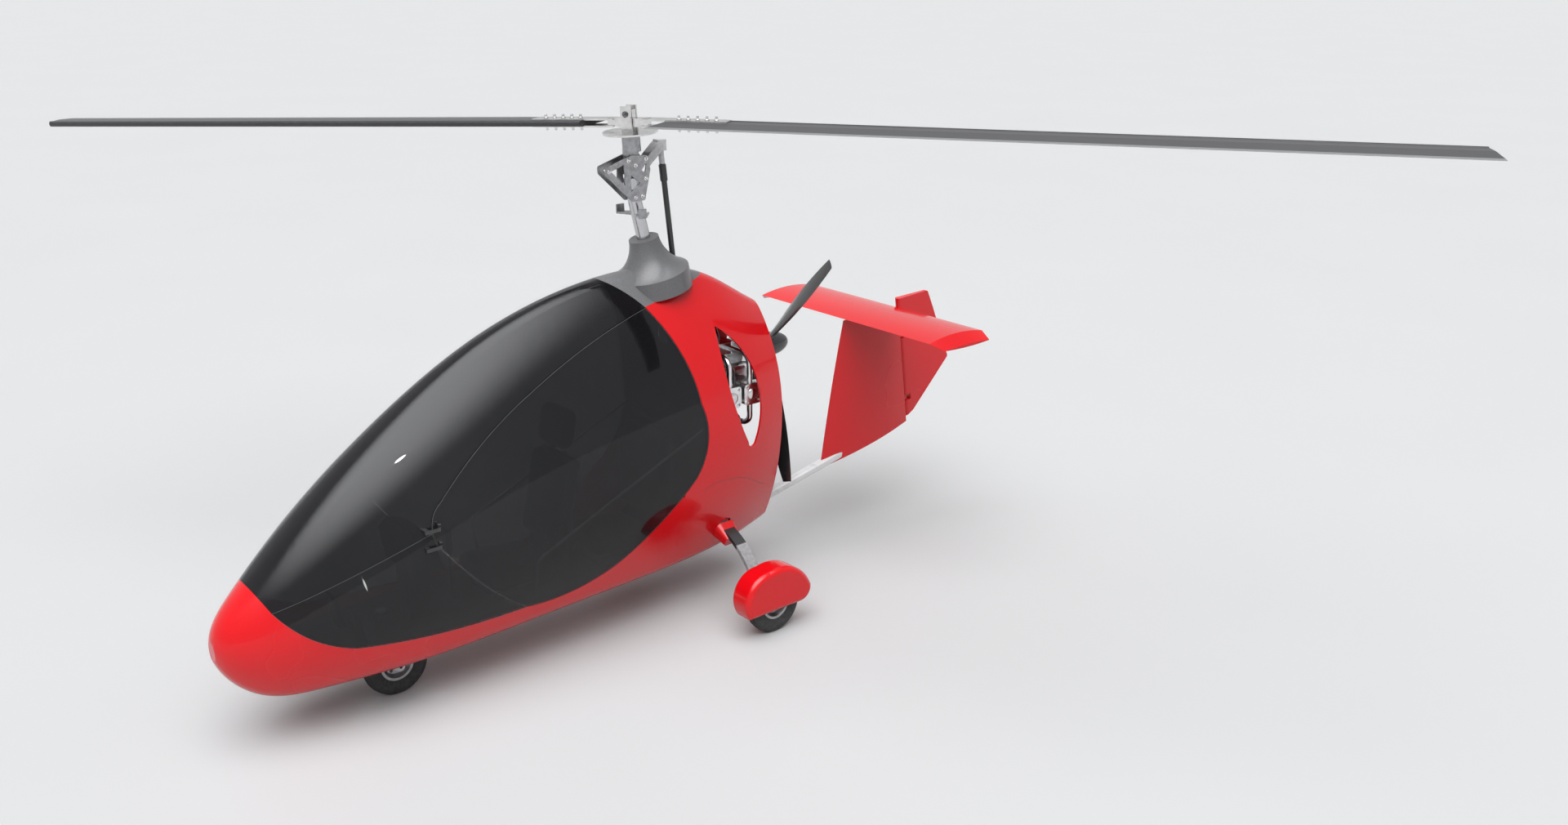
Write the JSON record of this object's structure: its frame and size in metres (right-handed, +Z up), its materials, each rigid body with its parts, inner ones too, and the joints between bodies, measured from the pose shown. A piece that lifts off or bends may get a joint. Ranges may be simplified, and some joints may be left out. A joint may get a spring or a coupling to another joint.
{
  "type": "gyrocopter",
  "caption": "Enclosed two-seat gyrocopter with a red teardrop hull, dark canopy and doors, teetering rotor on a round mast, pusher propeller, tail boom with fin and rudder, and tricycle gear",
  "frame": {"origin": "on the floor under the middle of the overall box, between the nose tip and the rudder tip", "axes": "+Z up, -Y towards the nose, +X towards the port side; the rest rotor lies mostly along X"},
  "size_m": [7.5346, 5.0763, 2.9468],
  "materials": {
    "red_body": "gloss",
    "dark_glass": "gloss",
    "grey_cover": "satin",
    "cabin_black": "matte",
    "seat_leather": "satin",
    "black_metal": "satin",
    "bare_steel": "satin",
    "bright_steel": "polished",
    "alloy": "satin",
    "grey_spring": "satin",
    "blade_skin": "satin",
    "black_plastic": "gloss",
    "tyre": "matte"
  },
  "bodies": {
    "airframe": {"hull_tub": "red_body", "engine_cowl": "red_body", "windscreen": "dark_glass", "nose_windows": "dark_glass", "mast_fairing": "grey_cover", "door_hinges": "black_metal", "cabin_floor": "cabin_black", "rear_bulkhead": "cabin_black", "front_seat": "seat_leather", "rear_seat": "seat_leather", "instrument_pod": "cabin_black", "cabin_controls": "black_metal", "cabin_rails": "bare_steel", "gear_bow": "grey_spring", "leg_cuffs": "red_body", "main_axles": "bare_steel", "wheel_spats": "red_body", "mast_tube": "bare_steel", "cheek_plates": "alloy", "mast_brackets": "alloy", "prerotator": "black_metal", "engine_frame": "bare_steel", "engine_block": "alloy", "engine_cylinders": "alloy", "intake_pipes": "alloy", "exhaust_pipes": "bright_steel", "tail_boom": "alloy", "fin": "red_body", "stabiliser": "red_body"},
    "rotor_head": {"head_block": "alloy"},
    "rotor_spindle": {"rotor_disc": "bare_steel"},
    "rotor": {"hub_bar": "alloy", "rotor_blade_1": "blade_skin", "rotor_blade_2": "blade_skin"},
    "propeller": {"prop_blades": "black_plastic", "spinner": "black_plastic"},
    "nose_fork": {"nose_fork": "alloy"},
    "nose_wheel": {"nose_tyre": "tyre", "nose_rim": "alloy"},
    "left_wheel": {"left_tyre": "tyre", "left_rim": "alloy"},
    "right_wheel": {"right_tyre": "tyre", "right_rim": "alloy"},
    "rudder": {"rudder": "red_body"},
    "left_door": {"left_door": "dark_glass"},
    "right_door": {"right_door": "dark_glass"}
  },
  "joints": [
    {"name": "head_tilt", "type": "hinge", "parent": "airframe", "child": "rotor_head", "pos_m": [0, -0.035, 2.632], "axis": [-1, 0, 0], "range_deg": [-4, 10]},
    {"name": "rotor_spin", "type": "hinge", "parent": "rotor_head", "child": "rotor_spindle", "pos_m": [0, -0.035, 2.858], "axis": [0, -0.0593, 0.9982], "continuous": true},
    {"name": "rotor_teeter", "type": "hinge", "parent": "rotor_spindle", "child": "rotor", "pos_m": [0, -0.03773, 2.90392], "axis": [-0.479, 0.8763, 0.0521], "range_deg": [-8, 8]},
    {"name": "propeller_spin", "type": "hinge", "parent": "airframe", "child": "propeller", "pos_m": [0, 0.884, 1.44], "axis": [0, 1, 0], "continuous": true},
    {"name": "nose_steer", "type": "hinge", "parent": "airframe", "child": "nose_fork", "pos_m": [0, -1.69, 0.44], "axis": [0, 0, 1], "range_deg": [-25, 25]},
    {"name": "nose_wheel_spin", "type": "hinge", "parent": "nose_fork", "child": "nose_wheel", "pos_m": [0, -1.645, 0.175], "axis": [1, 0, 0], "continuous": true},
    {"name": "left_wheel_spin", "type": "hinge", "parent": "airframe", "child": "left_wheel", "pos_m": [0.76, 0.32, 0.175], "axis": [1, 0, 0], "continuous": true},
    {"name": "right_wheel_spin", "type": "hinge", "parent": "airframe", "child": "right_wheel", "pos_m": [-0.76, 0.32, 0.175], "axis": [1, 0, 0], "continuous": true},
    {"name": "rudder_hinge", "type": "hinge", "parent": "airframe", "child": "rudder", "pos_m": [0, 2.158, 0.702], "axis": [0, -0.1315, 0.9913], "range_deg": [-28, 28]},
    {"name": "left_door_hinge", "type": "hinge", "parent": "airframe", "child": "left_door", "pos_m": [0.402, -1.512, 1], "axis": [0, 0, -1], "range_deg": [0, 75]},
    {"name": "right_door_hinge", "type": "hinge", "parent": "airframe", "child": "right_door", "pos_m": [-0.402, -1.512, 1], "axis": [0, 0, 1], "range_deg": [0, 75]}
  ]
}
